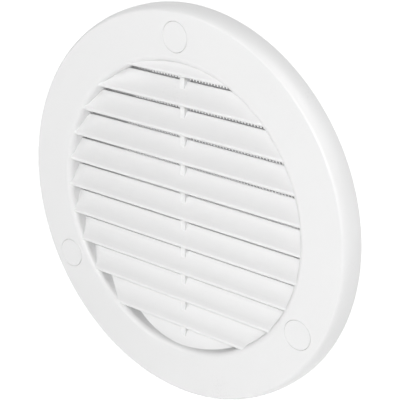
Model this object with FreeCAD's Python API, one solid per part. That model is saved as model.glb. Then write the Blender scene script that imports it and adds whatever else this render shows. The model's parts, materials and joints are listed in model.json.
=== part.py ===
"""Round louvred vent cover for a wall opening, with an insect screen and screw caps.

The wall is the plane y = 0. The cover stands in front of it, towards -Y, and its collar
reaches behind it, towards +Y. X runs to the right, Z runs up and the round centre line is Y.
"""
import FreeCAD, Part
import math
import os

# Duct collar, in millimetres
DUCT_D = 100.0
COLLAR_FIT = 0.5
COLLAR_WALL = 1.2
COLLAR_LENGTH = 25.0

# Flange: a flat-faced ring with a convex outer band, hollow behind
FLANGE_WIDTH = 15.5
FLANGE_DEPTH = 7.7
FLANGE_WALL = 2.0
RIM_ROUND = 2.0
RIM_FOOT = 1.9
RIM_FLAT_DEG = 30.0
RIM_DRAFT_DEG = 6.0
ROOT_STEP = 0.7
ROOT_SETBACK = 0.5

# Opening in the flange
LEDGE_WIDTH = 0.6
OPENING_ROUND = 1.1
OPENING_FLAT_DEG = 45.0

# Louvre slats, each an upright lip with a hollow blade that sweeps up and back from it
SLAT_PITCH = 9.38
SLAT_LIFT = 0.38
SLAT_HEIGHT = 7.15
SLAT_LIP = 1.9
SLAT_DEPTH = 4.2
SLAT_SCOOP = 0.25
SLAT_WALL = 1.2
SLAT_SETBACK = 0.5
SLAT_ROOT = 0.5

# Upright rib that ties the slats together at the back
RIB_WALL = 1.8
RIB_SETBACK = 3.5

# Screw points, evenly spaced on the flat of the flange, and their press-in caps
SCREW_POINTS = {"top": 90.0, "left": 210.0, "right": 330.0}
SCREW_HOLE_D = 4.5
SCREW_LAND = 1.8
BOSS_WALL = 1.1
WEB_WALL = 1.5
WEB_SETBACK = 2.5
CAP_D = 9.6
CAP_WALL = 1.4
CAP_GAP = 0.12
SKIRT_WALL = 0.8

# Insect screen, pressed in behind the slats
SCREEN_SETBACK = 1.5
SCREEN_WALL = 0.8
SCREEN_FIT = 0.05
SCREEN_RIM = 1.6
SCREEN_PITCH = 13.0
STRAND_WIDTH = 0.9
STRAND_DEPTH = 0.5

# Radii and planes that follow from the sizes above
COLLAR_R = DUCT_D / 2 - COLLAR_FIT
COLLAR_BORE_R = COLLAR_R - COLLAR_WALL
ROOT_R = COLLAR_R + ROOT_STEP
OPENING_R = COLLAR_BORE_R - LEDGE_WIDTH
OUTER_R = COLLAR_R + FLANGE_WIDTH
FACE_Y = -FLANGE_DEPTH
UNDERSIDE_Y = FACE_Y + FLANGE_WALL
SEAT_Y = -SCREEN_SETBACK
ROOT_Y = -ROOT_SETBACK
FACE_OUTER_R = OUTER_R - RIM_ROUND
FACE_INNER_R = OPENING_R + OPENING_ROUND
FOOT_INNER_R = OUTER_R - FLANGE_WALL
RIM_INNER_R = FOOT_INNER_R + UNDERSIDE_Y * math.tan(math.radians(RIM_DRAFT_DEG))
SCREW_CIRCLE_R = (FACE_INNER_R + FACE_OUTER_R) / 2
CAP_R = CAP_D / 2
SOCKET_R = CAP_R + CAP_GAP
BOSS_R = SOCKET_R + BOSS_WALL
SOCKET_FLOOR_Y = ROOT_Y - SCREW_LAND
SCREEN_R = COLLAR_BORE_R - SCREEN_FIT
SCREEN_BACK_Y = SEAT_Y + SCREEN_WALL

# Margin by which a cutting tool passes the face that it opens
OVERCUT = 1.0

AXIS = FreeCAD.Vector(0, 1, 0)
CENTRE = FreeCAD.Vector(0, 0, 0)


def at(radius, y):
    """A point of a turned profile: distance from the centre line, and place along it."""
    return FreeCAD.Vector(radius, y, 0)


def line(start, end):
    return Part.LineSegment(start, end).toShape()


def arc(start, middle, end):
    return Part.Arc(start, middle, end).toShape()


def outline(points):
    """Straight edges through the points, in order."""
    return [line(start, end) for start, end in zip(points, points[1:])]


def turned(edges):
    """The solid that a closed profile makes when it is turned about the Y axis."""
    face = Part.Face(Part.Wire(edges))
    return face.revolve(CENTRE, AXIS, 360)


def rod(radius, start_y, end_y):
    """A round rod along the centre line."""
    return Part.makeCylinder(radius, end_y - start_y, FreeCAD.Vector(0, start_y, 0), AXIS)


def roll(centre_r, centre_y, radial, axial, flat_deg):
    """Points of a rounded edge, from the face round to the side: a quarter ellipse in short flats."""
    flats = round(90 / flat_deg)
    turns = [math.pi / 2 * step / flats for step in range(flats + 1)]
    return [at(centre_r + radial * math.sin(turn), centre_y - axial * math.cos(turn)) for turn in turns]


def ring():
    """The flange, the wall of the opening and the collar, as one turned section."""
    opening = roll(FACE_INNER_R, FACE_Y + OPENING_ROUND, -OPENING_ROUND, OPENING_ROUND, OPENING_FLAT_DEG)
    rim = roll(FACE_OUTER_R, -RIM_FOOT, RIM_ROUND, FLANGE_DEPTH - RIM_FOOT, RIM_FLAT_DEG)
    back = [
        at(OPENING_R, SEAT_Y),
        at(COLLAR_BORE_R, SEAT_Y),
        at(COLLAR_BORE_R, COLLAR_LENGTH),
        at(COLLAR_R, COLLAR_LENGTH),
        at(COLLAR_R, ROOT_Y),
        at(ROOT_R, ROOT_Y),
        at(ROOT_R, UNDERSIDE_Y),
        at(RIM_INNER_R, UNDERSIDE_Y),
        at(FOOT_INNER_R, 0),
        at(OUTER_R, 0),
    ]
    points = opening + back + rim[::-1]
    return turned(outline(points + points[:1]))


def slat_section(z):
    """Section of one slat at height z: a lip with a round nose, and a blade between two arcs of one centre."""
    lip = FreeCAD.Vector(0, FACE_Y + SLAT_SETBACK, z - SLAT_HEIGHT / 2 + SLAT_WALL / 2)
    corner = FreeCAD.Vector(0, lip.y, z - SLAT_HEIGHT / 2 + SLAT_LIP)
    crest = FreeCAD.Vector(0, lip.y + SLAT_DEPTH, z + SLAT_HEIGHT / 2)
    chord = crest - corner
    radius = (chord.Length ** 2 / 4 + SLAT_SCOOP ** 2) / (2 * SLAT_SCOOP)
    outward = FreeCAD.Vector(0, -chord.z, chord.y).normalize()
    centre = (corner + crest) * 0.5 + outward * (radius - SLAT_SCOOP)
    rear_radius = radius + SLAT_WALL
    tail = centre + (crest - centre) * (rear_radius / radius)
    inner_y = lip.y + SLAT_WALL
    inner = FreeCAD.Vector(0, inner_y, centre.z - math.sqrt(rear_radius ** 2 - (inner_y - centre.y) ** 2))
    hollow = centre - outward * radius
    rear = centre + (tail + inner - centre * 2).normalize() * rear_radius
    heel = FreeCAD.Vector(0, inner_y, lip.z)
    nose = (lip + heel) * 0.5 - FreeCAD.Vector(0, 0, SLAT_WALL / 2)
    edges = [
        line(lip, corner),
        arc(corner, hollow, crest),
        line(crest, tail),
        arc(tail, rear, inner),
        line(inner, heel),
        arc(heel, nose, lip),
    ]
    return Part.Face(Part.Wire(edges))


def louvres():
    """The slats and the rib behind them, trimmed to sit in the wall of the opening."""
    reach = OPENING_R + SLAT_ROOT
    trim = rod(reach, FACE_Y, SEAT_Y)
    last = math.floor((OPENING_R + SLAT_HEIGHT / 2 - SLAT_WALL) / SLAT_PITCH)
    pieces = []
    for count in range(-last, last + 1):
        section = slat_section(SLAT_LIFT + count * SLAT_PITCH)
        section.translate(FreeCAD.Vector(-reach, 0, 0))
        pieces.append(section.extrude(FreeCAD.Vector(2 * reach, 0, 0)).common(trim))
    rib_y = FACE_Y + RIB_SETBACK
    rib = Part.makeBox(
        RIB_WALL, SEAT_Y - rib_y, 2 * reach, FreeCAD.Vector(-RIB_WALL / 2, rib_y, -reach)
    )
    pieces.append(rib.common(trim))
    return pieces


def on_flange(shape, angle):
    """Moves a shape from the centre line to a screw point."""
    placed = shape.copy()
    placed.translate(FreeCAD.Vector(SCREW_CIRCLE_R, 0, 0))
    placed.rotate(CENTRE, AXIS, -angle)
    return placed


def boss():
    """A screw boss behind the flange, with a web that ties it to the collar and the rim."""
    inner = ROOT_R - ROOT_STEP - SCREW_CIRCLE_R
    outer = RIM_INNER_R + FLANGE_WALL / 2 - SCREW_CIRCLE_R
    start_y = FACE_Y + FLANGE_WALL / 2
    web = Part.makeBox(
        outer - inner,
        -WEB_SETBACK - start_y,
        WEB_WALL,
        FreeCAD.Vector(inner, start_y, -WEB_WALL / 2),
    )
    return rod(BOSS_R, start_y, ROOT_Y).fuse(web)


def screw_socket():
    """What is cut from the boss: the cap's recess down to the screw head's seat, and the screw hole."""
    recess = rod(SOCKET_R, FACE_Y - OVERCUT, SOCKET_FLOOR_Y)
    return recess.fuse(rod(SCREW_HOLE_D / 2, SOCKET_FLOOR_Y - OVERCUT, ROOT_Y + OVERCUT))


def grille_body():
    """The whole moulding: flange, collar, slats, rib and screw bosses."""
    bosses = [on_flange(boss(), angle) for angle in SCREW_POINTS.values()]
    sockets = [on_flange(screw_socket(), angle) for angle in SCREW_POINTS.values()]
    body = ring().multiFuse(louvres() + bosses)
    return body.cut(sockets).removeSplitter()


def screw_cap():
    """A press-in cap: a flat disc flush with the flange, on a skirt that stands round the screw head."""
    hollow = rod(CAP_R - SKIRT_WALL, FACE_Y + CAP_WALL, SOCKET_FLOOR_Y + OVERCUT)
    return rod(CAP_R, FACE_Y, SOCKET_FLOOR_Y).cut(hollow)


def insect_screen():
    """A round frame with upright strands in front and level strands behind, joined where they cross."""
    inner_r = SCREEN_R - SCREEN_RIM
    reach = SCREEN_R - SCREEN_RIM / 2
    frame = rod(SCREEN_R, SEAT_Y, SCREEN_BACK_Y).cut(
        rod(inner_r, SEAT_Y - OVERCUT, SCREEN_BACK_Y + OVERCUT)
    )
    trim = rod(reach, SEAT_Y, SCREEN_BACK_Y)
    last = math.floor((inner_r - STRAND_WIDTH) / SCREEN_PITCH)
    strands = []
    for count in range(-last, last + 1):
        near = count * SCREEN_PITCH - STRAND_WIDTH / 2
        upright = Part.makeBox(
            STRAND_WIDTH, STRAND_DEPTH, 2 * reach, FreeCAD.Vector(near, SEAT_Y, -reach)
        )
        level = Part.makeBox(
            2 * reach,
            STRAND_DEPTH,
            STRAND_WIDTH,
            FreeCAD.Vector(-reach, SCREEN_BACK_Y - STRAND_DEPTH, near),
        )
        strands += [upright.common(trim), level.common(trim)]
    return frame.multiFuse(strands).removeSplitter()


def main():
    pieces = {"grille_body": grille_body(), "insect_screen": insect_screen()}
    for place, angle in SCREW_POINTS.items():
        pieces["screw_cap_" + place] = on_flange(screw_cap(), angle)
    os.makedirs("parts", exist_ok=True)
    for name, shape in pieces.items():
        shape.exportStep("parts/" + name + ".step")


main()
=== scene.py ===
"""Round louvred vent cover: its moulding, screw caps and fly screen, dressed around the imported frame."""
import json
import math

import bmesh
import bpy
from bpy.props import FloatProperty, FloatVectorProperty, IntProperty, PointerProperty
from bpy.types import Operator, Panel, PropertyGroup
from mathutils import Matrix, Vector


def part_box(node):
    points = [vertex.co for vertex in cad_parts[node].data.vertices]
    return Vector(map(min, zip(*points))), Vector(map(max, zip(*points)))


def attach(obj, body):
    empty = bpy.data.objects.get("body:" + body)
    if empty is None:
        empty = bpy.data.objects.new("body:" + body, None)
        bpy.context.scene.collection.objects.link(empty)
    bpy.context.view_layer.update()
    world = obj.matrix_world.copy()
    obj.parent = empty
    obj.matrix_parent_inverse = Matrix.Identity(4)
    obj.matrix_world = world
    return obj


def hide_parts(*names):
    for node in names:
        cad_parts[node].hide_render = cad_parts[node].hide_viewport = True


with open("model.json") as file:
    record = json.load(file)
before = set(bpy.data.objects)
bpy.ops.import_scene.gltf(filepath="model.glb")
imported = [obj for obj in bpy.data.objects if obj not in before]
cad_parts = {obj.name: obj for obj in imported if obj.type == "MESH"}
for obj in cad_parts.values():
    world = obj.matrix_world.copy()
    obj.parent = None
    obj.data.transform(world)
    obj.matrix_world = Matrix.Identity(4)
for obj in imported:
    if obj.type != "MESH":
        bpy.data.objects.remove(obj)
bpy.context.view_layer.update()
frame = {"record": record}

bl_info = {
    "name": "Round vent cover",
    "version": (1, 0, 0),
    "blender": (4, 5, 0),
    "location": "3D View > Sidebar > Vent cover",
    "description": "Builds a louvred vent cover, its screw caps and its fly screen around the packed frame",
    "category": "Add Mesh",
}

MM = 0.001

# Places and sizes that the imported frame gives
BODY_LOW, BODY_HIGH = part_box("grille_body")
SCREEN_LOW, SCREEN_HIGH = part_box("insect_screen")
CAP_NODES = ("screw_cap_top", "screw_cap_left", "screw_cap_right")
CAP_LOW, CAP_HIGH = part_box(CAP_NODES[0])
MOUNTS = {mount["name"]: mount for mount in frame["record"]["mounts"]}
COLLAR_RADIUS = MOUNTS["collar"]["dims"]["r_mm"] * MM
SCREW_CIRCLE = MOUNTS["screw_holes"]["dims"]["pcd_mm"] / 2 * MM
SCREW_HOLE = MOUNTS["screw_holes"]["dims"]["hole_r_mm"] * MM
ROOT_Y = MOUNTS["screw_holes"]["pos_m"][1]
FACE_Y = BODY_LOW.y
SCREW_COUNT = len(CAP_NODES)

# Fineness of the meshes
RING_SEGMENTS = 288
CAP_SEGMENTS = 96
STRAND_SIDES = 4
ROLL_STEPS = 14
EASE_STEPS = 4
NOSE_STEPS = 10
BEND_STEPS = 8
BLADE_STEPS = 12
WELD = 1e-7
OVERCUT = 1.0 * MM
SHARP_ANGLE = math.radians(32)
STRAND_SHARP_ANGLE = math.radians(65)

# A strand has a point at every half pitch. The slack keeps rounding from dropping the last one
RESAMPLE_SLACK = 0.9999

# Colour sockets of the Mix node
MIX_FIRST, MIX_SECOND, MIX_RESULT = 6, 7, 2

# How far the textures change the colours and the roughness
PLASTIC_SHADE = 0.985
PLASTIC_CLOUD_GLOSS = 0.1
PLASTIC_GRAIN_GLOSS = 0.08
SCREEN_SHADE, SCREEN_TINT = 0.8, 1.3
SCREEN_ROUGHNESS = 0.6
SCREEN_DUST_GLOSS = 0.2
FLOOR_SHADE = 0.99

# Floor, in metres, and the glow that the camera sees on it: lower by the object, so that its shadow shows
FLOOR_GAP = 0.2 * MM
FLOOR_SPREAD = 12.0
FLOOR_THICKNESS = 0.01
FLOOR_FADE = 3.0
GLOW_NEAR = (0.7, 0.7, 0.7, 1.0)
GLOW_FAR = (0.9, 0.9, 0.9, 1.0)
WHITE = (1.0, 1.0, 1.0, 1.0)

# Soft lights: azimuth and elevation in degrees, then distance and width in metres
LIGHTS = {
    "left": (-30, 20, 3.0, 1.6),
    "front": (25, 26, 3.0, 1.6),
    "side": (115, 35, 2.0, 1.4),
    "near": (38, 14, 0.8, 0.4),
    "upper": (110, 65, 2.0, 1.4),
}


def length(name, description, default):
    """A size in metres that a user can change."""
    unit = {"unit": "LENGTH", "precision": 5, "min": 0.0}
    return FloatProperty(name=name, description=description, default=default, **unit)


def angle(name, description, degrees):
    """An angle that a user can change."""
    return FloatProperty(name=name, description=description, default=math.radians(degrees), subtype="ANGLE")


def watts(name, description, default):
    """A light's power that a user can change."""
    return FloatProperty(name=name, description=description, default=default, unit="POWER")


def colour(name, description, default):
    """A colour that a user can change."""
    return FloatVectorProperty(name=name, description=description, default=default, subtype="COLOR")


class MouldingSizes(PropertyGroup):
    """Sizes of the one-piece moulding."""

    outer_radius: length("Outer radius", "Radius of the flange's outer band", BODY_HIGH.x)
    depth: length("Flange depth", "From the wall to the flange's face", -FACE_Y)
    wall: length("Flange wall", "Thickness of the flange", 2.0 * MM)
    rim_round: length("Rim round", "How far in the outer band rounds over", 2.0 * MM)
    rim_foot: length("Rim foot", "Straight height of the band beside the wall", 1.9 * MM)
    rim_lean: length("Rim lean", "How far the inside of the band leans in", 0.6 * MM)
    collar_radius: length("Collar radius", "Outside of the duct collar", COLLAR_RADIUS)
    collar_wall: length("Collar wall", "Thickness of the duct collar", 1.2 * MM)
    collar_length: length("Collar length", "Reach of the collar behind the wall", 19.8 * MM)
    root_step: length("Root step", "Step from the collar out to its root", 0.7 * MM)
    ledge: length("Screen ledge", "Width of the ledge that the screen rests on", 0.6 * MM)
    opening_round: length("Opening round", "Round of the opening's front edge", 2.0 * MM)
    edge: length("Edge ease", "Small round on the moulding's other edges", 0.3 * MM)
    slat_count: IntProperty(name="Slats", description="Number of louvre slats", default=11, min=1)
    slat_pitch: length("Slat pitch", "Height from slat to slat", 9.38 * MM)
    slat_lift: length("Slat lift", "Height of the middle slat above the centre", 0.38 * MM)
    slat_height: length("Slat height", "From a slat's nose to its crest", 7.15 * MM)
    slat_depth: length("Slat depth", "From a slat's lip back to its crest", 4.2 * MM)
    slat_lip: length("Slat lip", "Height of a slat's upright lip", 0.9 * MM)
    slat_edge: length("Slat edge", "Round between a slat's lip and its blade", 1.0 * MM)
    slat_scoop: length("Slat scoop", "Hollow of a slat's blade", 0.2 * MM)
    slat_wall: length("Slat wall", "Thickness of a slat", 1.2 * MM)
    slat_setback: length("Slat setback", "From the flange's face to the slats' lips", 0.5 * MM)
    slat_root: length("Slat root", "How far the slats run into the wall of the opening", 0.9 * MM)
    rib_wall: length("Rib wall", "Thickness of the upright rib", 1.8 * MM)
    rib_setback: length("Rib setback", "From the flange's face to the rib's front", 3.3 * MM)
    boss_wall: length("Boss wall", "Wall of a screw boss round the cap's recess", 1.1 * MM)
    web_wall: length("Web wall", "Thickness of the webs beside the bosses", 1.5 * MM)
    web_setback: length("Web setback", "From the webs' rear edge to the wall", 2.5 * MM)


class CapSizes(PropertyGroup):
    """Sizes of the press-in screw caps."""

    radius: length("Cap radius", "Radius of a cap", (CAP_HIGH.x - CAP_LOW.x) / 2)
    wall: length("Cap wall", "Thickness of a cap's disc", 1.4 * MM)
    skirt: length("Skirt wall", "Thickness of a cap's skirt", 0.8 * MM)
    gap: length("Cap gap", "Gap between a cap and its recess", 0.08 * MM)
    edge: length("Cap edge", "Round on a cap's edge and on its recess", 0.16 * MM)


class ScreenSizes(PropertyGroup):
    """Sizes of the woven fly screen."""

    radius: length("Screen radius", "Outside of the screen's rim", SCREEN_HIGH.x)
    rim: length("Rim width", "Width of the screen's flat rim", 1.6 * MM)
    pitch: length("Mesh pitch", "Distance from strand to strand", 1.2 * MM)
    strand: length("Strand", "Width of a strand", 0.8 * MM)
    bite: length("Rim bite", "Width of rim that the strands stay clear of", 0.3 * MM)


class Finishes(PropertyGroup):
    """Colours and finish of the materials."""

    plastic: colour("Plastic", "Colour of the moulding and caps", (0.86, 0.86, 0.86))
    plastic_roughness: FloatProperty(
        name="Plastic roughness", description="How satin the plastic is", default=0.3, subtype="FACTOR"
    )
    screen: colour("Screen", "Colour of the fly screen", (0.42, 0.42, 0.425))
    floor: colour("Floor", "Colour of the floor", (0.9, 0.9, 0.9))


class StageSettings(PropertyGroup):
    """Camera and light."""

    azimuth: angle("Azimuth", "Camera's turn round the object", 40.46)
    elevation: angle("Elevation", "Camera's height above the horizon", 20.96)
    distance: length("Distance", "Camera to its aim", 412.2 * MM)
    aim_right: length("Aim right", "Aim beside the object's origin", 2.64 * MM)
    aim_up: length("Aim up", "Aim above the object's origin", 1.235 * MM)
    lens: FloatProperty(name="Lens", description="Focal length in millimetres", default=116.0)
    ambient: FloatProperty(name="Ambient", description="Level of the even light all round", default=0.15)
    left_power: watts("Left light", "Soft light from the left", 19.0)
    front_power: watts("Front light", "Soft light from the front", 24.3)
    side_power: watts("Side light", "Soft light from the right, a little behind", 6.5)
    near_power: watts("Near light", "Soft light by the camera", 1.67)
    upper_power: watts("Upper light", "Soft light from above", 9.4)


# Node trees

class Signal:
    """A node's output. Arithmetic on it adds Math nodes to its tree."""

    def __init__(self, nodes, socket):
        self.nodes = nodes
        self.socket = socket

    def math(self, operation, *values):
        sockets = dict(enumerate(values))
        return self.nodes.add("ShaderNodeMath", {"operation": operation}, sockets)

    def __add__(self, other):
        return self.math("ADD", self, other)

    def __radd__(self, other):
        return self.math("ADD", other, self)

    def __sub__(self, other):
        return self.math("SUBTRACT", self, other)

    def __mul__(self, other):
        return self.math("MULTIPLY", self, other)

    def __rmul__(self, other):
        return self.math("MULTIPLY", other, self)

    def __truediv__(self, other):
        return self.math("DIVIDE", self, other)

    def __pow__(self, other):
        return self.math("POWER", self, other)

    def cosine(self):
        return self.math("COSINE", self)

    def floor(self):
        return self.math("FLOOR", self)

    def at_most_one(self):
        return self.math("MINIMUM", self, 1.0)


class Nodes:
    """One node tree, and short ways to add nodes to it."""

    def __init__(self, tree):
        self.tree = tree

    def add(self, kind, settings=None, sockets=None, output=0):
        """Adds a node: its settings first, then values or links for its sockets. A list links them all."""
        node = self.tree.nodes.new(kind)
        for key, value in (settings or {}).items():
            setattr(node, key, value)
        for key, value in (sockets or {}).items():
            for part in value if isinstance(value, list) else [value]:
                if isinstance(part, Signal):
                    self.tree.links.new(part.socket, node.inputs[key])
                else:
                    node.inputs[key].default_value = part
        return Signal(self, node.outputs[output]) if node.outputs else node

    def combine(self, x=0.0, y=0.0, z=0.0):
        return self.add("ShaderNodeCombineXYZ", {}, {0: x, 1: y, 2: z})

    def noise(self, place, scale, detail):
        sockets = {"Vector": place, "Scale": scale, "Detail": detail}
        return self.add("ShaderNodeTexNoise", {}, sockets, "Fac")

    def blend(self, share, first, second):
        """A colour between two, nearer to the second as the share grows."""
        sockets = {0: share, MIX_FIRST: first, MIX_SECOND: second}
        return self.add("ShaderNodeMix", {"data_type": "RGBA"}, sockets, MIX_RESULT)

    def axes(self, vector):
        """The three parts of a vector."""
        first = self.add("ShaderNodeSeparateXYZ", {}, {0: vector})
        return [Signal(self, socket) for socket in first.socket.node.outputs]


class ShapeTree(Nodes):
    """A Geometry Nodes tree with named inputs."""

    def __init__(self, name, inputs):
        super().__init__(bpy.data.node_groups.new(name, "GeometryNodeTree"))
        face = self.tree.interface
        face.new_socket("Geometry", in_out="INPUT", socket_type="NodeSocketGeometry")
        self.names = {}
        for label, kind in inputs.items():
            item = face.new_socket(label, in_out="INPUT", socket_type="NodeSocket" + kind)
            self.names[label] = item.identifier
        face.new_socket("Geometry", in_out="OUTPUT", socket_type="NodeSocketGeometry")
        self.group = self.tree.nodes.new("NodeGroupInput")

    def input(self, label):
        return Signal(self, self.group.outputs[label])

    def prototype(self, label):
        """The shape of an object input."""
        return self.add("GeometryNodeObjectInfo", {}, {"Object": self.input(label)}, "Geometry")

    def copies(self, points, shape, **sockets):
        placed = {"Points": points, "Instance": shape, **sockets}
        copies = self.add("GeometryNodeInstanceOnPoints", {}, placed)
        return self.add("GeometryNodeRealizeInstances", {}, {"Geometry": copies})

    def round_the_screws(self, shape):
        """Copies of a shape at the top screw point, turned to every screw point."""
        stacked = {"Count": self.input("Screws"), "Offset": (0.0, 0.0, 0.0)}
        points = self.add("GeometryNodeMeshLine", {}, stacked)
        index = self.add("GeometryNodeInputIndex")
        turn = self.combine(y=index * (2 * math.pi) / self.input("Screws"))
        return self.copies(points, shape, Rotation=turn)

    def solid(self, operation, first, others):
        """A Boolean of closed shapes."""
        settings = {"operation": operation, "solver": "MANIFOLD"}
        if operation == "DIFFERENCE":
            return self.add("GeometryNodeMeshBoolean", settings, {"Mesh 1": first, "Mesh 2": others})
        return self.add("GeometryNodeMeshBoolean", settings, {"Mesh 2": [first] + others})

    def end(self, shape):
        shape = self.add("GeometryNodeRealizeInstances", {}, {"Geometry": shape})
        painted = {"Geometry": shape, "Material": self.input("Material")}
        shape = self.add("GeometryNodeSetMaterial", {}, painted)
        self.add("NodeGroupOutput", {}, {"Geometry": shape})


# Meshes

def new_object(name, data):
    """An object at the origin, in the scene."""
    made = bpy.data.objects.new(name, data)
    bpy.context.scene.collection.objects.link(made)
    return made


def remove(*things):
    """Deletes helper objects."""
    for thing in things:
        bpy.data.objects.remove(thing)


def settle(piece):
    """Turns a piece's modifiers into its plain mesh."""
    depsgraph = bpy.context.evaluated_depsgraph_get()
    mesh = bpy.data.meshes.new_from_object(piece.evaluated_get(depsgraph), depsgraph=depsgraph)
    piece.modifiers.clear()
    piece.data = mesh
    mesh.name = piece.name


def grow(name, mesh, tree, values):
    """An object whose plain mesh is what the tree makes of the given mesh and values."""
    piece = new_object(name, mesh)
    shaper = piece.modifiers.new("shape", "NODES")
    shaper.node_group = tree.tree
    for label, value in values.items():
        shaper[tree.names[label]] = value
    settle(piece)
    return piece


def smooth(piece):
    """Smooth faces with true edges: flats stay flat beside their rounds."""
    piece.data.shade_smooth()
    piece.data.set_sharp_from_angle(angle=SHARP_ANGLE)
    weigh = piece.modifiers.new("normals", "WEIGHTED_NORMAL")
    weigh.keep_sharp = True
    weigh.weight = 100
    settle(piece)


def eased(corners, steps=EASE_STEPS):
    """Points of a closed outline, where a corner (a, b, radius) with a radius becomes an arc."""
    points = []
    for index, (a, b, radius) in enumerate(corners):
        corner = Vector((a, b))
        if radius == 0:
            points.append(corner)
            continue
        before = Vector(corners[index - 1][:2]) - corner
        after = Vector(corners[(index + 1) % len(corners)][:2]) - corner
        before.normalize()
        after.normalize()
        half = before.angle(after) / 2
        centre = corner + (before + after).normalized() * (radius / math.sin(half))
        reach = radius / math.tan(half)
        start = (corner + before * reach - centre).normalized()
        end = (corner + after * reach - centre).normalized()
        points += [centre + start.slerp(end, step / steps) * radius for step in range(steps + 1)]
    return points


def roll(centre_r, centre_y, radial, axial, steps=ROLL_STEPS):
    """Corners of a rounded edge from a face round to a side, as a quarter ellipse."""
    turns = [math.pi / 2 * step / steps for step in range(steps + 1)]
    return [(centre_r + radial * math.sin(turn), centre_y - axial * math.cos(turn), 0) for turn in turns]


def shape_mesh(name, rings, closed_rings):
    """A closed mesh that joins rings of points in order."""
    shape = bmesh.new()
    rows = [[shape.verts.new(point) for point in ring] for ring in rings]
    for here, there in zip(rows, rows[1:] + rows[:1] if closed_rings else rows[1:]):
        for index in range(len(here)):
            shape.faces.new((here[index - 1], here[index], there[index], there[index - 1]))
    if not closed_rings:
        shape.faces.new(rows[0])
        shape.faces.new(rows[-1])
    bmesh.ops.remove_doubles(shape, verts=shape.verts, dist=WELD)
    bmesh.ops.recalc_face_normals(shape, faces=shape.faces)
    mesh = bpy.data.meshes.new(name)
    shape.to_mesh(mesh)
    shape.free()
    return mesh


def turned(name, profile, segments):
    """A closed profile of (radius, y) points turned about the Y axis."""
    turns = [2 * math.pi * step / segments for step in range(segments)]
    rings = [[(r * math.cos(turn), y, r * math.sin(turn)) for r, y in profile] for turn in turns]
    return shape_mesh(name, rings, closed_rings=True)


def prism(name, outline, half_length):
    """A closed outline of (y, z) points drawn out along X."""
    rings = [[(x, y, z) for y, z in outline] for x in (-half_length, half_length)]
    return shape_mesh(name, rings, closed_rings=False)


def dress(piece, slot, *nodes):
    """Puts a finished piece in place of its frame nodes."""
    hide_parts(*nodes)
    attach(piece, "root")


# Moulding

def opening_radius(sizes):
    """Radius of the opening: the collar's bore less the screen's ledge."""
    return sizes.collar_radius - sizes.collar_wall - sizes.ledge


def ring_profile(sizes):
    """Section of the flange, the wall of the opening and the collar."""
    bore = sizes.collar_radius - sizes.collar_wall
    root = sizes.collar_radius + sizes.root_step
    opening = opening_radius(sizes)
    foot = sizes.outer_radius - sizes.wall
    underside = FACE_Y + sizes.wall
    edge = sizes.edge
    small = edge / 3
    face_inner = opening + sizes.opening_round
    face_outer = sizes.outer_radius - sizes.rim_round
    back = [
        (opening, SCREEN_LOW.y, small),
        (bore, SCREEN_LOW.y, small),
        (bore, sizes.collar_length, edge),
        (sizes.collar_radius, sizes.collar_length, edge),
        (sizes.collar_radius, ROOT_Y, small),
        (root, ROOT_Y, small),
        (root, underside, edge),
        (foot - sizes.rim_lean, underside, edge),
        (foot, 0, edge),
        (sizes.outer_radius, 0, edge),
    ]
    front = roll(face_inner, FACE_Y + sizes.opening_round, -sizes.opening_round, sizes.opening_round)
    rim = roll(face_outer, -sizes.rim_foot, sizes.rim_round, sizes.depth - sizes.rim_foot)
    return eased(front + back + rim[::-1])


def slat_outline(sizes):
    """Section of one slat about its own height: a lip with a round nose, and a hollow blade behind it."""
    wall, half = sizes.slat_wall, sizes.slat_height / 2
    lip = Vector((FACE_Y + sizes.slat_setback, wall / 2 - half))
    heel = lip + Vector((wall, 0))
    corner = Vector((lip.x, sizes.slat_lip - half))
    crest = Vector((lip.x + sizes.slat_depth, half))
    chord = crest - corner
    radius = (chord.length_squared / 4 + sizes.slat_scoop ** 2) / (2 * sizes.slat_scoop)
    outward = Vector((-chord.y, chord.x)).normalized()
    centre = (corner + crest) / 2 + outward * (radius - sizes.slat_scoop)
    rear_radius = radius + wall
    inner = Vector((heel.x, centre.y - math.sqrt(rear_radius ** 2 - (heel.x - centre.x) ** 2)))
    tail = centre + (crest - centre) * (rear_radius / radius)

    def sweep(start, end, reach):
        """Points between the ends of an arc about the blade's centre."""
        first, last = (start - centre).normalized(), (end - centre).normalized()
        shares = [step / BLADE_STEPS for step in range(1, BLADE_STEPS)]
        return [(*(centre + first.slerp(last, share) * reach), 0) for share in shares]

    turns = [math.pi * step / NOSE_STEPS for step in range(1, NOSE_STEPS)]
    nose = [(lip + heel) / 2 + Vector((math.cos(turn), -math.sin(turn))) * wall / 2 for turn in turns]
    corners = [(*lip, 0), (*corner, sizes.slat_edge)]
    corners += [point for point in sweep(corner, crest, radius) if point[0] - corner.x > sizes.slat_edge]
    tip = wall / 5
    corners += [(*crest, tip), (*tail, tip)]
    corners += sweep(tail, inner, rear_radius)
    corners += [(*inner, 0), (*heel, 0)]
    return eased(corners + [(*point, 0) for point in nose], BEND_STEPS)


def socket_profile(cap):
    """Section of what is cut from a boss: the cap's recess with an eased lip, and the screw hole."""
    recess = cap.radius + cap.gap
    floor = CAP_HIGH.y
    lip = roll(recess + cap.edge, FACE_Y + cap.edge, -cap.edge, cap.edge, EASE_STEPS)
    corners = [(0, FACE_Y - OVERCUT, 0), (recess + cap.edge, FACE_Y - OVERCUT, 0)]
    corners += lip
    corners += [(recess, floor, 0), (SCREW_HOLE, floor, 0), (SCREW_HOLE, OVERCUT, 0), (0, OVERCUT, 0)]
    return eased(corners)


def at_screw(mesh):
    """Moves a mesh from the centre line to the top screw point."""
    mesh.transform(Matrix.Translation((0, 0, SCREW_CIRCLE)))
    return mesh


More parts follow.
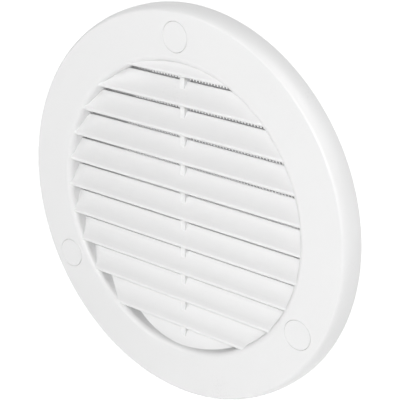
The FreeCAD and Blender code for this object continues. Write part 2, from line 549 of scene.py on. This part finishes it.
def block(name, low, high):
    """A plain block between two corners."""
    outline = [(low.y, low.z), (high.y, low.z), (high.y, high.z), (low.y, high.z)]
    mesh = prism(name, outline, (high.x - low.x) / 2)
    mesh.transform(Matrix.Translation(((low.x + high.x) / 2, 0, 0)))
    return mesh


def moulding_tree():
    """The turned ring with its slats, rib, bosses and webs joined on and its screw sockets cut out."""
    tree = ShapeTree("moulding", {
        "Slat": "Object",
        "Slats": "Int",
        "Slat pitch": "Float",
        "First slat": "Float",
        "Rib": "Object",
        "Trim": "Object",
        "Boss": "Object",
        "Web": "Object",
        "Socket": "Object",
        "Screws": "Int",
        "Material": "Material",
    })
    heights = {
        "Count": tree.input("Slats"),
        "Start Location": tree.combine(z=tree.input("First slat")),
        "Offset": tree.combine(z=tree.input("Slat pitch")),
    }
    points = tree.add("GeometryNodeMeshLine", {}, heights)
    slats = tree.copies(points, tree.prototype("Slat"))
    trim = tree.prototype("Trim")
    louvres = tree.solid("INTERSECT", slats, [trim])
    rib = tree.solid("INTERSECT", tree.prototype("Rib"), [trim])
    bosses = tree.round_the_screws(tree.prototype("Boss"))
    webs = tree.round_the_screws(tree.prototype("Web"))
    sockets = tree.round_the_screws(tree.prototype("Socket"))
    whole = tree.solid("UNION", tree.input("Geometry"), [louvres, rib, bosses, webs])
    tree.end(tree.solid("DIFFERENCE", whole, [sockets]))
    return tree


class VENT_OT_moulding(Operator):
    """Build the one-piece moulding: flange, opening, collar, slats, rib and screw bosses"""

    bl_idname = "vent.moulding"
    bl_label = "Moulding"

    def execute(self, context):
        sizes, cap = context.scene.vent_moulding, context.scene.vent_caps
        reach = opening_radius(sizes) + sizes.slat_root
        inside_face = FACE_Y + sizes.wall / 2
        rim_inner = sizes.outer_radius - sizes.wall - sizes.rim_lean
        rib_front = FACE_Y + sizes.rib_setback
        trim = [(0, FACE_Y), (reach, FACE_Y), (reach, SCREEN_LOW.y), (0, SCREEN_LOW.y)]
        boss_r = cap.radius + cap.gap + sizes.boss_wall
        boss = [(0, inside_face, 0), (boss_r, inside_face, 0), (boss_r, ROOT_Y, sizes.edge), (0, ROOT_Y, 0)]
        half_rib, half_web = sizes.rib_wall / 2, sizes.web_wall / 2
        rib_low = Vector((-half_rib, rib_front, -reach))
        rib_high = Vector((half_rib, SCREEN_LOW.y, reach))
        web_low = Vector((-half_web, inside_face, sizes.collar_radius))
        web_high = Vector((half_web, -sizes.web_setback, rim_inner + sizes.wall / 2))
        tools = {
            "Slat": prism("slat", slat_outline(sizes), reach),
            "Rib": block("rib", rib_low, rib_high),
            "Trim": turned("trim", trim, RING_SEGMENTS),
            "Boss": at_screw(turned("boss", eased(boss), CAP_SEGMENTS)),
            "Web": block("web", web_low, web_high),
            "Socket": at_screw(turned("socket", socket_profile(cap), CAP_SEGMENTS)),
        }
        tools = {label: new_object(mesh.name, mesh) for label, mesh in tools.items()}
        values = {
            "Slats": sizes.slat_count,
            "Slat pitch": sizes.slat_pitch,
            "First slat": sizes.slat_lift - (sizes.slat_count - 1) / 2 * sizes.slat_pitch,
            "Screws": SCREW_COUNT,
            "Material": plastic(context.scene.vent_finishes),
        }
        ring = turned("ring", ring_profile(sizes), RING_SEGMENTS)
        piece = grow("vent_moulding", ring, moulding_tree(), {**tools, **values})
        remove(*tools.values())
        smooth(piece)
        dress(piece, "white_plastic", "grille_body")
        return {"FINISHED"}


# Screw caps

def cap_profile(cap):
    """Section of a cap: a flat disc with an eased edge, on a skirt."""
    floor = CAP_HIGH.y
    inner = cap.radius - cap.skirt
    edge = roll(cap.radius - cap.edge, FACE_Y + cap.edge, cap.edge, cap.edge, EASE_STEPS)
    corners = [(0, FACE_Y, 0)] + edge
    corners += [
        (cap.radius, floor, cap.edge),
        (inner, floor, cap.edge),
        (inner, FACE_Y + cap.wall, cap.edge),
        (0, FACE_Y + cap.wall, 0),
    ]
    return eased(corners)


class VENT_OT_caps(Operator):
    """Build the press-in caps over the screw holes"""

    bl_idname = "vent.caps"
    bl_label = "Screw caps"

    def execute(self, context):
        tree = ShapeTree("caps", {"Screws": "Int", "Material": "Material"})
        tree.end(tree.round_the_screws(tree.input("Geometry")))
        cap = at_screw(turned("cap", cap_profile(context.scene.vent_caps), CAP_SEGMENTS))
        values = {"Screws": SCREW_COUNT, "Material": plastic(context.scene.vent_finishes)}
        piece = grow("screw_caps", cap, tree, values)
        smooth(piece)
        dress(piece, "white_plastic", *CAP_NODES)
        return {"FINISHED"}


# Fly screen

def screen_tree():
    """Strands woven over and under each other, joined to the screen's rim."""
    tree = ShapeTree("fly screen", {
        "Radius": "Float",
        "Pitch": "Float",
        "Strand": "Float",
        "Flatness": "Float",
        "Middle": "Float",
        "Material": "Material",
    })
    radius, pitch, strand = tree.input("Radius"), tree.input("Pitch"), tree.input("Strand")
    side = (radius / pitch).floor()
    level = tree.combine(y=tree.input("Middle"))
    circle = {"Resolution": STRAND_SIDES, "Radius": strand / 2}
    section = tree.add("GeometryNodeCurvePrimitiveCircle", {}, circle)

    def strands(across, sign):
        """One set of strands: across is the axis that they are spaced along."""
        along = 2 - across
        spread = [0.0, 0.0, 0.0]
        spread[across] = 1.0
        first = -1 * side * pitch
        line = {
            "Count": side * 2 + 1,
            "Start Location": tree.combine(*[first if share else 0.0 for share in spread]),
            "Offset": tree.combine(*[pitch if share else 0.0 for share in spread]),
        }
        points = tree.add("GeometryNodeMeshLine", {}, line)
        place = tree.axes(tree.add("GeometryNodeInputPosition"))[across]
        half = ((radius * radius - place * place) ** 0.5 / pitch * 2).floor() * pitch / 2
        ends = [0.0, 0.0, 0.0]
        ends[along] = 1.0
        unit = {"Start": tuple(-end for end in ends), "End": tuple(ends)}
        straight = tree.add("GeometryNodeCurvePrimitiveLine", {}, unit)
        stretch = [1.0, 1.0, 1.0]
        stretch[along] = half
        wires = tree.copies(points, straight, Scale=tree.combine(*stretch))
        step = pitch / 2 * RESAMPLE_SLACK
        even = {"Curve": wires, "Length": step}
        wires = tree.add("GeometryNodeResampleCurve", {"mode": "LENGTH"}, even)
        x, _, z = tree.axes(tree.add("GeometryNodeInputPosition"))
        wave = ((x + z) / pitch * math.pi).cosine() * strand / 2 * sign
        waved = {"Geometry": wires, "Offset": tree.combine(y=wave)}
        wires = tree.add("GeometryNodeSetPosition", {}, waved)
        swept = {"Curve": wires, "Profile Curve": section, "Fill Caps": True}
        return tree.add("GeometryNodeCurveToMesh", {}, swept)

    weave = tree.add("GeometryNodeJoinGeometry", {}, {"Geometry": [strands(0, 1.0), strands(2, -1.0)]})
    flat = tree.combine(1.0, tree.input("Flatness"), 1.0)
    placed = {"Geometry": weave, "Translation": level, "Scale": flat}
    weave = tree.add("GeometryNodeTransform", {}, placed)
    tree.end(tree.add("GeometryNodeJoinGeometry", {}, {"Geometry": [tree.input("Geometry"), weave]}))
    return tree


class VENT_OT_screen(Operator):
    """Build the woven fly screen behind the slats"""

    bl_idname = "vent.screen"
    bl_label = "Fly screen"

    def execute(self, context):
        sizes = context.scene.vent_screen
        front, back = SCREEN_LOW.y, SCREEN_HIGH.y
        inner = sizes.radius - sizes.rim
        edge = (back - front) / 4
        rim = eased([
            (inner, front, edge),
            (sizes.radius, front, edge),
            (sizes.radius, back, edge),
            (inner, back, edge),
        ])
        values = {
            "Radius": sizes.radius - sizes.bite,
            "Pitch": sizes.pitch,
            "Strand": sizes.strand,
            "Flatness": (back - front) / (2 * sizes.strand),
            "Middle": (front + back) / 2,
            "Material": screen_cloth(context.scene.vent_finishes),
        }
        piece = grow("fly_screen", turned("screen rim", rim, RING_SEGMENTS), screen_tree(), values)
        piece.data.shade_smooth()
        piece.data.set_sharp_from_angle(angle=STRAND_SHARP_ANGLE)
        dress(piece, "screen_mesh", "insect_screen")
        return {"FINISHED"}


# Materials

def new_material(name):
    """An empty material and its nodes."""
    material = bpy.data.materials.new(name)
    material.use_nodes = True
    material.node_tree.nodes.clear()
    return material, Nodes(material.node_tree)


def shaded(tone, share=1.0):
    """An opaque colour with its parts scaled."""
    return (*[share * part for part in tone], 1.0)


def plastic(finishes):
    """Satin white moulded plastic: faint cloudiness, a fine moulded grain and uneven gloss."""
    found = bpy.data.materials.get("white moulded plastic")
    if found:
        return found
    material, nodes = new_material("white moulded plastic")
    place = nodes.add("ShaderNodeTexCoord", {}, {}, "Object")
    cloud = nodes.noise(place, scale=35.0, detail=3.0)
    grain = nodes.noise(place, scale=2200.0, detail=2.0)
    tint = nodes.blend(cloud, shaded(finishes.plastic, PLASTIC_SHADE), shaded(finishes.plastic))
    gloss = (cloud - 0.5) * PLASTIC_CLOUD_GLOSS + (grain - 0.5) * PLASTIC_GRAIN_GLOSS
    rough = finishes.plastic_roughness + gloss
    bump = nodes.add("ShaderNodeBump", {}, {"Height": grain, "Strength": 0.06, "Distance": 0.02 * MM})
    surface = {"Base Color": tint, "Roughness": rough, "Normal": bump, "IOR": 1.5}
    shader = nodes.add("ShaderNodeBsdfPrincipled", {}, surface)
    nodes.add("ShaderNodeOutputMaterial", {}, {"Surface": shader})
    return material


def screen_cloth(finishes):
    """Grey coated strands with a slightly dusty, uneven finish."""
    material, nodes = new_material("grey fly screen")
    place = nodes.add("ShaderNodeTexCoord", {}, {}, "Object")
    dust = nodes.noise(place, scale=90.0, detail=4.0)
    fibre = nodes.noise(place, scale=5200.0, detail=2.0)
    tint = nodes.blend(dust, shaded(finishes.screen, SCREEN_SHADE), shaded(finishes.screen, SCREEN_TINT))
    rough = SCREEN_ROUGHNESS + (dust - 0.5) * SCREEN_DUST_GLOSS
    bump = nodes.add("ShaderNodeBump", {}, {"Height": fibre, "Strength": 0.2, "Distance": 0.03 * MM})
    surface = {"Base Color": tint, "Roughness": rough, "Normal": bump}
    shader = nodes.add("ShaderNodeBsdfPrincipled", {}, surface)
    nodes.add("ShaderNodeOutputMaterial", {}, {"Surface": shader})
    return material


# Stage

def seen_directly(nodes):
    """One for rays from the camera and for mirrored or clear views, and nothing for light on the object."""
    path = nodes.add("ShaderNodeLightPath").socket.node.outputs
    kinds = ("Is Camera Ray", "Is Glossy Ray", "Is Transmission Ray")
    camera, glossy, clear = [Signal(nodes, path[kind]) for kind in kinds]
    return (camera + glossy + clear).at_most_one()


def floor_material(finishes):
    """A pale matt floor that reads white and keeps a soft shadow."""
    material, nodes = new_material("pale floor")
    place = nodes.add("ShaderNodeTexCoord", {}, {}, "Object")
    cloud = nodes.noise(place, scale=3.0, detail=2.0)
    tint = nodes.blend(cloud, shaded(finishes.floor, FLOOR_SHADE), shaded(finishes.floor))
    matt = nodes.add("ShaderNodeBsdfDiffuse", {}, {"Color": tint})
    away = nodes.add("ShaderNodeVectorMath", {"operation": "LENGTH"}, {0: place}, "Value")
    share = (away / FLOOR_FADE).at_most_one()
    lift = nodes.blend(share, GLOW_NEAR, GLOW_FAR)
    glow = nodes.add("ShaderNodeEmission", {}, {"Color": lift, "Strength": 1.0})
    lifted = nodes.add("ShaderNodeAddShader", {}, {0: matt, 1: glow})
    shader = nodes.add("ShaderNodeMixShader", {}, {0: seen_directly(nodes), 1: matt, 2: lifted})
    nodes.add("ShaderNodeOutputMaterial", {}, {"Surface": shader})
    return material


def direction(azimuth, elevation):
    """Unit vector from the object: azimuth to the right of its front, elevation above the horizon."""
    level = math.cos(elevation)
    return Vector((math.sin(azimuth) * level, -math.cos(azimuth) * level, math.sin(elevation)))


def soft_light(name, azimuth, elevation, distance, size, power):
    """A round soft light that looks at the object from the given degrees."""
    lamp = bpy.data.lights.new(name, "AREA")
    lamp.shape = "DISK"
    lamp.size = size
    lamp.energy = power
    held = new_object(name, lamp)
    away = direction(math.radians(azimuth), math.radians(elevation))
    held.location = away * distance
    held.rotation_euler = (-away).to_track_quat("-Z", "Y").to_euler()


class VENT_OT_stage(Operator):
    """Set the floor, the light and the camera"""

    bl_idname = "vent.stage"
    bl_label = "Stage"

    def execute(self, context):
        scene = context.scene
        stage = scene.vent_stage
        scene.view_settings.view_transform = "Standard"
        top = BODY_LOW.z - FLOOR_GAP
        floor_low = Vector((-FLOOR_SPREAD, -FLOOR_SPREAD, top - FLOOR_THICKNESS))
        floor_high = Vector((FLOOR_SPREAD, FLOOR_SPREAD, top))
        floor = new_object("floor", block("floor", floor_low, floor_high))
        floor.data.materials.append(floor_material(scene.vent_finishes))

        world = bpy.data.worlds.new("studio")
        scene.world = world
        world.use_nodes = True
        world.node_tree.nodes.clear()
        nodes = Nodes(world.node_tree)
        even = nodes.add("ShaderNodeBackground", {}, {"Color": WHITE, "Strength": stage.ambient})
        backdrop = nodes.add("ShaderNodeBackground", {}, {"Color": WHITE, "Strength": 1.0})
        mixed = nodes.add("ShaderNodeMixShader", {}, {0: seen_directly(nodes), 1: even, 2: backdrop})
        nodes.add("ShaderNodeOutputWorld", {}, {"Surface": mixed})

        for name, place in LIGHTS.items():
            soft_light(name + " light", *place, getattr(stage, name + "_power"))

        back = direction(stage.azimuth, stage.elevation)
        right = Vector((math.cos(stage.azimuth), math.sin(stage.azimuth), 0))
        up = back.cross(right)
        lens = bpy.data.cameras.new("camera")
        lens.lens = stage.lens
        lens.sensor_width = 36.0
        lens.clip_start = 0.01
        lens.clip_end = 100.0
        camera = new_object("camera", lens)
        camera.location = right * stage.aim_right + up * stage.aim_up + back * stage.distance
        camera.rotation_euler = (-back).to_track_quat("-Z", "Y").to_euler()
        scene.camera = camera
        return {"FINISHED"}


# Add-on

GROUPS = {
    "vent_moulding": MouldingSizes,
    "vent_caps": CapSizes,
    "vent_screen": ScreenSizes,
    "vent_finishes": Finishes,
    "vent_stage": StageSettings,
}
OPERATORS = (VENT_OT_moulding, VENT_OT_caps, VENT_OT_screen, VENT_OT_stage)


class VENT_PT_panel(Panel):
    """Lists the vent cover's sizes, finishes and build steps"""

    bl_idname = "VENT_PT_panel"
    bl_label = "Vent cover"
    bl_space_type = "VIEW_3D"
    bl_region_type = "UI"
    bl_category = "Vent cover"

    def draw(self, context):
        for group in GROUPS:
            box = self.layout.box()
            settings = getattr(context.scene, group)
            for name in settings.__annotations__:
                box.prop(settings, name)
        for operator in OPERATORS:
            self.layout.operator(operator.bl_idname)


CLASSES = (*GROUPS.values(), *OPERATORS, VENT_PT_panel)


def register():
    for cls in CLASSES:
        bpy.utils.register_class(cls)
    for name, group in GROUPS.items():
        setattr(bpy.types.Scene, name, PointerProperty(type=group))


def unregister():
    for name in GROUPS:
        delattr(bpy.types.Scene, name)
    for cls in reversed(CLASSES):
        bpy.utils.unregister_class(cls)


def main():
    register()
    bpy.ops.vent.stage()
    bpy.ops.vent.moulding()
    bpy.ops.vent.caps()
    bpy.ops.vent.screen()


if __name__ == "__main__":
    main()
